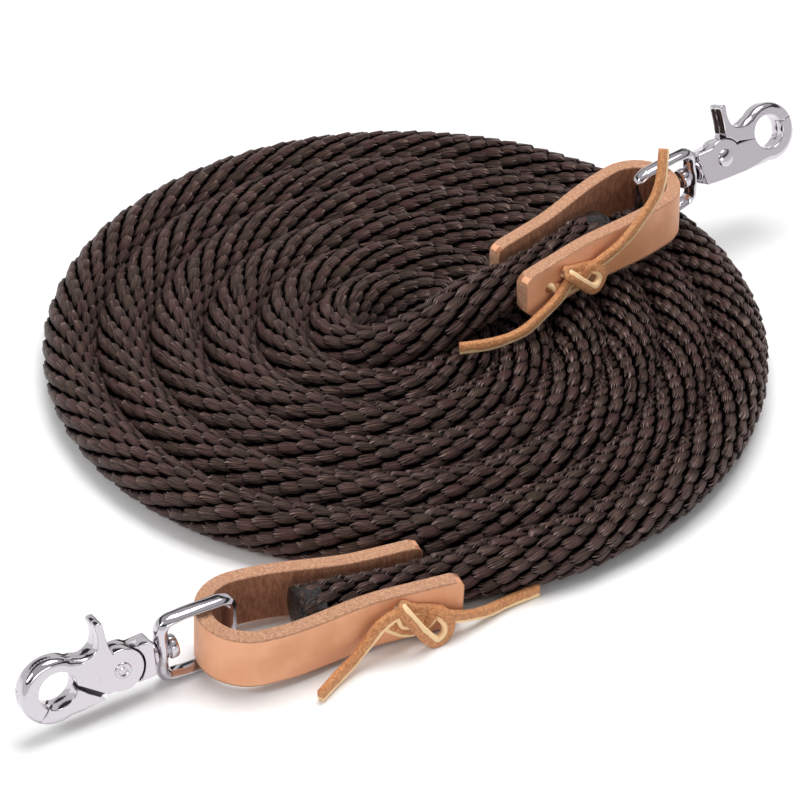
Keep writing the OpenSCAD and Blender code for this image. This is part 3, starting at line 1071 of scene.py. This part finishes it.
@dataclass
class TriggerSnap:
    """A swivel snap: an eye, a fixed jaw, and a sprung jaw with a thumb lever.

    Lengths are in millimetres in the snap's own frame, with the trigger's pivot at the origin.
    """

    end: RopeEnd
    painted_slot_shade: bpy.types.Material
    half: float = 3.1
    gap: float = 0.12
    disc_radius: float = 6.1
    bore_centre: tuple[float, float] = (18.2, 0.8)
    bore_radius: float = 5.4
    rim_centre: tuple[float, float] = (18.9, 0.4)
    rim_radius: float = 9.3
    rim_soft: float = 1.7
    edge_soft: float = 0.3
    eye_end: float = -34.6
    eye_front: float = -10.6
    eye_half_height: float = 11.1
    eye_front_half_height: float = 10.7
    limb: float = 2.3
    limb_half_width: float = 2.4
    # Half the thickness of the eye's front bar, and the radius of its corners
    bar_half: float = 1.725
    eye_corner: float = 3.4

    def rim(self, start: float, stop: float) -> list[tuple[float, float]]:
        """The ring's outside from one angle to another."""
        return arc(self.rim_centre, self.rim_radius, start, stop, max(4, int(abs(stop - start) / 6)))

    def bore(self, start: float, stop: float) -> list[tuple[float, float]]:
        """The ring's inside from one angle to another."""
        return arc(self.bore_centre, self.bore_radius, start, stop, max(4, int(abs(stop - start) / 8)))

    def lever(self) -> list[tuple[float, float]]:
        """The top of the moving jaw, from the ring to the thumb lever and down to the disc."""
        hollow = [(12.2, 7.75), (10.8, 7.2), (9.3, 6.95), (8.0, 7.15), (7.0, 7.7), (6.2, 8.6)]
        blade = [(5.75, 9.8), (5.55, 11.2), (5.65, 12.8), (6.0, 14.4), (6.15, 15.3), (5.6, 15.75),
                 (4.7, 15.85), (4.0, 15.6), (3.75, 14.6), (3.6, 13.0), (3.45, 11.2), (3.15, 9.2), (2.7, 7.2)]
        return hollow + blade

    def soft_edges(self, outline: Sequence[Sequence[float]]) -> list[float]:
        """Give the ring's outside a wide rounding and every other edge a small one."""
        out = []
        for x, z in outline:
            away = math.hypot(x - self.rim_centre[0], z - self.rim_centre[1])
            on_rim = smoothstep((away - self.rim_radius + 1.2) / 1.0) * smoothstep((x - 6.4) / 5.0)
            out.append(self.edge_soft + (self.rim_soft - self.edge_soft) * on_rim)
        return out

    def plate(
        self, outline: Sequence[Sequence[float]], outer: int, metal: bpy.types.Material, inner: float
    ) -> bpy.types.Object:
        """Cast one half thickness of a jaw, rounded on the side that shows.

        Args:
            outline: The half's outline.
            outer: +1 where the +Y face shows, -1 where the -Y face does.
            metal: Its finish.
            inner: The y of its hidden face, which is painted dark for the shade in the slot between the
                halves.

        Returns:
            The piece.
        """
        soft = self.soft_edges(outline)
        sharp = [0.05] * len(outline)
        place = self.end.snap()
        if outer > 0:
            made = cast_plate(outline, (inner, self.half), (sharp, soft), place, "half", metal)
        else:
            made = cast_plate(outline, (-self.half, inner), (soft, sharp), place, "half", metal)
        # The second slot is the painted shade of the slot between the halves
        made.data.materials.append(self.painted_slot_shade)
        # The two caps are the last faces made, the one at the lower y first
        made.data.polygons[-2 if outer > 0 else -1].material_index = 1
        return made

    def trigger(self, metal: bpy.types.Material) -> bpy.types.Object:
        """Model the moving jaw: a disc, the upper half of the ring, its lap and the lever."""
        front = self.bore(184, -52) + self.rim(-54, 126) + self.lever()
        front += arc((0, 0), self.disc_radius, 70, 298, 32) + [(4.9, -5.5)]
        back = self.bore(179, 12) + self.rim(11, 126) + self.lever()
        back += arc((0, 0), self.disc_radius + 0.3, 64, 25, 5) + [(6.8, 2.8)]
        halves = [
            self.plate(front, 1, metal, self.gap),
            self.plate(back, -1, metal, self.gap + 0.4),
        ]
        return joined(halves, self.end.side + "_trigger_jaw")

    def body(self, metal: bpy.types.Material) -> bpy.types.Object:
        """Model the fixed jaw: a tail for the swivel, the lower half of the ring and its lap."""
        tail = [(-8.5, -5.2), (-9.1, -5.0), (-9.3, -4.4), (-9.3, 4.4), (-9.1, 5.0), (-8.5, 5.2)]
        crown = arc((0, 0), self.disc_radius, 128, 22, 14)
        belly = self.rim(14, -112)
        belly += [(13.0, -8.15), (10.0, -7.75), (6.0, -7.2), (2.0, -6.75), (-2.0, -6.3), (-6.0, -5.7)]
        back = tail[::-1] + belly[::-1] + self.bore(10, -184) + [(9.0, 1.9)] + crown[::-1]
        heel = tail + arc((0, 0), self.disc_radius + 0.5, 126, 234, 14)
        jaw = [(5.7, -6.7)] + self.bore(198, 307) + self.rim(-56, -112) + [(12.0, -8.0), (8.0, -7.0)]
        plates = [
            self.plate(back, -1, metal, -self.gap),
            self.plate(heel, 1, metal, -self.gap - 0.4),
            self.plate(jaw, 1, metal, -self.gap - 0.4),
        ]
        return joined(plates, self.end.side + "_snap_body")

    def pivot_rivet(self, metal: bpy.types.Material) -> bpy.types.Object:
        """Turn the pivot's rivet: a peened ring in front and a low dome behind."""
        place = self.end.snap() @ rotation("Z", 90)
        behind, front = -self.half, self.half
        profile = [
            (behind - 0.95, 0.0), (behind - 0.88, 1.0), (behind - 0.62, 2.0), (behind - 0.25, 2.7),
            (behind + 0.1, 2.95), (behind + 0.3, 1.95), (front - 0.2, 1.95), (front - 0.1, 2.35),
            (front + 0.22, 2.3), (front + 0.42, 2.0), (front + 0.40, 1.55), (front + 0.08, 1.3),
            (front + 0.05, 1.05), (front + 0.3, 0.8), (front + 0.32, 0.0),
        ]
        return lathe(profile, place, self.end.side + "_pivot_rivet", metal)

    def stud(self, metal: bpy.types.Material) -> bpy.types.Object:
        """Turn the swivel's stud, with a thick round head inside the eye."""
        inside = self.eye_front - 2 * self.bar_half
        profile = [
            (inside - 2.6, 0.0), (inside - 2.6, 1.0), (inside - 2.45, 1.25), (inside - 2.6, 1.5),
            (inside - 2.6, 2.6), (inside - 2.45, 3.0), (inside - 2.1, 3.2), (inside - 0.65, 3.3),
            (inside - 0.3, 3.15), (inside - 0.2, 2.8), (inside - 0.2, 1.98), (-6.6, 1.98), (-6.6, 0.0),
        ]
        return lathe(profile, self.end.snap(), self.end.side + "_swivel_stud", metal)

    def collar(self, metal: bpy.types.Material) -> bpy.types.Object:
        """Turn the round collar between the eye and the fixed jaw."""
        near, far = self.eye_front + 0.1, -9.35
        profile = [
            (near, 1.9), (near, 3.0), (near + 0.2, 3.35), (near + 0.6, 3.5), (far - 0.3, 3.4), (far, 3.1),
            (far, 1.9), (near, 1.9),
        ]
        return lathe(profile, self.end.snap(), self.end.side + "_swivel_collar", metal)

    def eye_path(self) -> tuple[list[Vector], list[Vector], list[tuple[float, float]]]:
        """Follow the eye's bar round: its middle, the way outwards, and its two half sizes."""
        limb_half, corner = self.limb / 2, self.eye_corner
        end, front = self.eye_end + limb_half + 0.9, self.eye_front - self.bar_half
        tall, low = self.eye_half_height - limb_half, self.eye_front_half_height - limb_half
        quarter = (
            [(front, z) for z in (0.0, 1.6, 3.0, 4.2)]
            + arc((front - corner, low - corner), corner, 0, 78, 8)
            + [(-19.0, low + 0.35), (-23.0, low + 0.4)]
            + arc((end + corner, tall - corner), corner, 96, 180, 9)
            + [(end, z) for z in (3.0, 1.5, 0.0)]
        )
        upper = np.array([(x, 0.0, z) for x, z in quarter])
        loop = np.vstack([upper, (upper * (1, 1, -1))[-2:0:-1]])
        run = np.roll(loop, -1, axis=0) - np.roll(loop, 1, axis=0)
        run = run / np.linalg.norm(run, axis=1)[:, None]
        outward = np.cross(np.array([0.0, 1.0, 0.0]), run)
        sizes = []
        for x, _, z in loop:
            boss = smoothstep((3.9 - abs(z)) / 2.4) if x > front - 1.0 else 0.0
            bar = smoothstep((x - front + 4.5) / 4.0)
            heel = smoothstep((end + 2.2 - x) / 2.2)
            thick = limb_half + (self.bar_half - limb_half) * bar + 0.75 * heel
            sizes.append((thick, self.limb_half_width + 0.7 * boss))
        return [Vector(p) for p in loop], [Vector(n) for n in outward], sizes

    def eye(self, metal: bpy.types.Material) -> bpy.types.Object:
        """Sweep the eye's ridged section round its path."""
        place = self.end.eye()
        section = [
            (0.10, 1.0), (0.34, 0.90), (0.90, 0.56), (1.0, 0.34),
            (1.0, -0.34), (0.90, -0.56), (0.34, -0.90), (0.10, -1.0),
            (-0.10, -1.0), (-0.34, -0.90), (-0.90, -0.56), (-1.0, -0.34),
            (-1.0, 0.34), (-0.90, 0.56), (-0.34, 0.90), (-0.10, 1.0),
        ]
        rings = []
        for spot, outward, (thick, wide) in zip(*self.eye_path()):
            rings.append([
                place @ ((spot + outward * a * thick + Vector((0, b * wide, 0))) * MM) for a, b in section
            ])
        return loft(rings, self.end.side + "_swivel_ring", [metal], closed=True)


# ---------------------------------------------------------------- studio


@dataclass
class Studio:
    """The floor, the lights and the camera."""

    lens: float = 122.6
    distance: float = 813 * MM
    elevation: float = 37.89
    aim: tuple[float, float, float] = (2.6 * MM, -21.0 * MM, 0.0)
    floor_colour: Colour = (0.90, 0.90, 0.90, 1.0)
    # The sky's brightness at a few heights, from the horizon to straight up
    sky: tuple = ((0.0, 0.80), (0.34, 0.80), (0.42, 0.04), (0.56, 0.04), (0.66, 0.55), (1.0, 0.55))

    def camera(self) -> None:
        """Look along +Y and down at the coil."""
        target = coil_middle() + Vector(self.aim)
        data = bpy.data.cameras.new("camera")
        data.lens = self.lens
        data.clip_start = 0.01
        made = bpy.data.objects.new("camera", data)
        tip = math.radians(self.elevation)
        made.location = target + self.distance * Vector((0.0, -math.cos(tip), math.sin(tip)))
        made.rotation_euler = (math.pi / 2 - tip, 0.0, 0.0)
        bpy.context.scene.collection.objects.link(made)
        bpy.context.scene.camera = made

    def floor(self) -> None:
        """Lay a plain pale floor."""
        s = Shader("pale_floor")
        s.surface_set(Base_Color=self.floor_colour, Roughness=0.9)
        bm = bmesh.new()
        bmesh.ops.create_grid(bm, x_segments=1, y_segments=1, size=3.0)
        made = object_of(bm, "floor", [s.material])

    def softbox(
        self, name: str, place: Sequence[float], aim: Sequence[float], size: Sequence[float], watts: float
    ) -> None:
        """Hang one soft light.

        Args:
            name: The light's name.
            place: Where it hangs.
            aim: The point that it faces.
            size: Its width and height.
            watts: Its power.
        """
        data = bpy.data.lights.new(name, "AREA")
        data.shape = "RECTANGLE"
        data.size, data.size_y = size
        data.energy = watts
        made = bpy.data.objects.new(name, data)
        made.location = place
        made.rotation_euler = (Vector(aim) - Vector(place)).to_track_quat("-Z", "Y").to_euler()
        bpy.context.scene.collection.objects.link(made)

    def light(self) -> None:
        """Set the sky and the soft lights."""
        world = bpy.data.worlds.new("studio")
        bpy.context.scene.world = world
        world.use_nodes = True
        tree = world.node_tree
        towards = tree.nodes.new("ShaderNodeTexCoord").outputs["Generated"]
        split = tree.nodes.new("ShaderNodeSeparateXYZ")
        ramp = tree.nodes.new("ShaderNodeValToRGB")
        tree.links.new(towards, split.inputs[0])
        tree.links.new(split.outputs["Z"], ramp.inputs[0])
        for stop, _ in self.sky[1:-1]:
            ramp.color_ramp.elements.new(stop)
        for element, (stop, grey) in zip(ramp.color_ramp.elements, self.sky):
            element.position = stop
            element.color = (grey, grey, grey, 1.0)
        tree.links.new(ramp.outputs[0], tree.nodes["Background"].inputs["Color"])
        tree.nodes["Background"].inputs["Strength"].default_value = 1.0
        self.softbox("overhead", (0.1, 0.25, 1.1), (0, 0, 0), (0.8, 0.6), 11.0)
        self.softbox("left_key", (-0.9, -0.5, 0.8), (0, 0, 0), (0.5, 0.5), 4.4)
        self.softbox("front_fill", (0.5, -1.2, 0.5), (0, -0.05, 0), (0.7, 0.35), 2.0)
        bpy.context.scene.view_settings.view_transform = "Standard"

    def build(self) -> None:
        """Put up the whole studio."""
        self.camera()
        self.floor()
        self.light()


# Painted shade: a dark grey for the inner faces where the two halves of a snap lap, standing for the shadow
# in the slot between them
PAINTED_SLOT_SHADE_GREY: Colour = (0.07, 0.065, 0.07, 1.0)
PAINTED_SLOT_SHADE_DARK: Colour = (0.03, 0.03, 0.03, 1.0)

LEFT = RopeEnd("left", (-51.0, -138.5, 0.2), 203.0, 1, 14.5 * MM)
RIGHT = RopeEnd("right", (86.0, 51.0, 17.0), 43.0, -1, 13.5 * MM)
# The thongs' tails in each loop's own frame: back from the bend, across, and height, in millimetres
LEFT_TAILS = (
    ((52, 13.5, 13.5), (47, 13.5, 11), (43, 14, 7), (38, 16, 4), (32, 19, 2.5), (26, 23, 2)),
    ((66, 13.5, 8), (72, 12.5, 5), (79, 11, 3), (86, 9, 2.2), (96, 7.5, 2)),
)
RIGHT_TAILS = (
    ((44, -13.5, 11), (36, -15, 15), (28, -15.5, 21), (21, -15, 28), (16, -11.5, 38)),
    ((62, -13.5, 6), (70, -14, 3.5), (78, -14.5, 2.2), (88, -12.5, 2), (97, -7.5, 2)),
)


def report(piece: bpy.types.Object) -> None:
    """Log a finished piece and its size."""
    LOG.info("%s: %d faces", piece.name, len(piece.data.polygons))


def settle(piece: bpy.types.Object, body: str, slot: str, *nodes: str) -> None:
    """Fix a piece to its body, hide the nodes that it stands for, and log it."""
    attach(piece, body)
    if nodes:
        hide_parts(*nodes)
    report(piece)


def build_rope() -> None:
    rope = Rope()
    braid = rope.build(BraidFinish().material())
    melted = MeltedFinish().material()
    tips = [rope.tip("left_rope_tip", True, melted), rope.tip("right_rope_tip", False, melted)]
    settle(braid, "rein", "rope", "rope_coil", "rope_outer_lead", "rope_inner_lead")
    for tip in tips:
        settle(tip, "rein", "rope")
    LOG.info("rope: %.3f m", rope.length)


def build_leather(end: RopeEnd, tails: tuple, wrap_height: float) -> None:
    """Build one end's folded strap and its lace."""
    loop = LeatherLoop(end)
    settle(loop.build(LeatherFinish().material()), "rein", "leather_strap", end.side + "_strap")
    lace = Lace(end, loop, tails[0], tails[1], wrap_height)
    settle(lace.build(LaceFinish().material()), "rein", "leather_thong", end.side + "_thong")


def build_snap(end: RopeEnd, finishes: dict[str, bpy.types.Material]) -> None:
    """Build one snap, and give its trigger spring, which stays as it is, the drawn finish."""
    snap = TriggerSnap(end, finishes["painted_slot_shade"])
    side = end.side
    cast, turned, drawn = finishes["cast"], finishes["turned"], finishes["drawn"]
    settle(snap.eye(cast), side + "_eye", "chrome", side + "_swivel_eye")
    settle(snap.body(cast), side + "_snap", "chrome", side + "_snap_body")
    settle(snap.trigger(cast), side + "_jaw", "chrome", side + "_trigger")
    settle(snap.pivot_rivet(turned), side + "_snap", "rivet_steel", side + "_pivot_pin")
    settle(snap.stud(turned), side + "_snap", "rivet_steel", side + "_swivel_rivet")
    settle(snap.collar(turned), side + "_snap", "rivet_steel", side + "_swivel_washer")
    spring = frame["nodes"][side + "_trigger_spring"]
    spring.data.materials.clear()
    spring.data.materials.append(drawn)


def main() -> None:
    """Build every sub-assembly in turn, and report each piece."""
    logging.basicConfig(level=logging.INFO, format="%(name)s: %(message)s")
    Studio().build()
    build_rope()
    build_leather(LEFT, LEFT_TAILS, 1.0)
    build_leather(RIGHT, RIGHT_TAILS, 0.75)
    finishes = {
        "cast": PlatedFinish("nickel_casting", Polish.MIRROR).material(),
        "turned": PlatedFinish("turned_steel", Polish.BRIGHT).material(),
        "drawn": PlatedFinish("spring_wire", Polish.DRAWN).material(),
        # A dark painted shade for the slots between a snap's halves
        "painted_slot_shade": PlatedFinish("painted_slot_shade_casting", Polish.DRAWN, PAINTED_SLOT_SHADE_GREY, PAINTED_SLOT_SHADE_DARK).material(),
    }
    for end in (LEFT, RIGHT):
        build_snap(end, finishes)


if __name__ == "__main__":
    main()
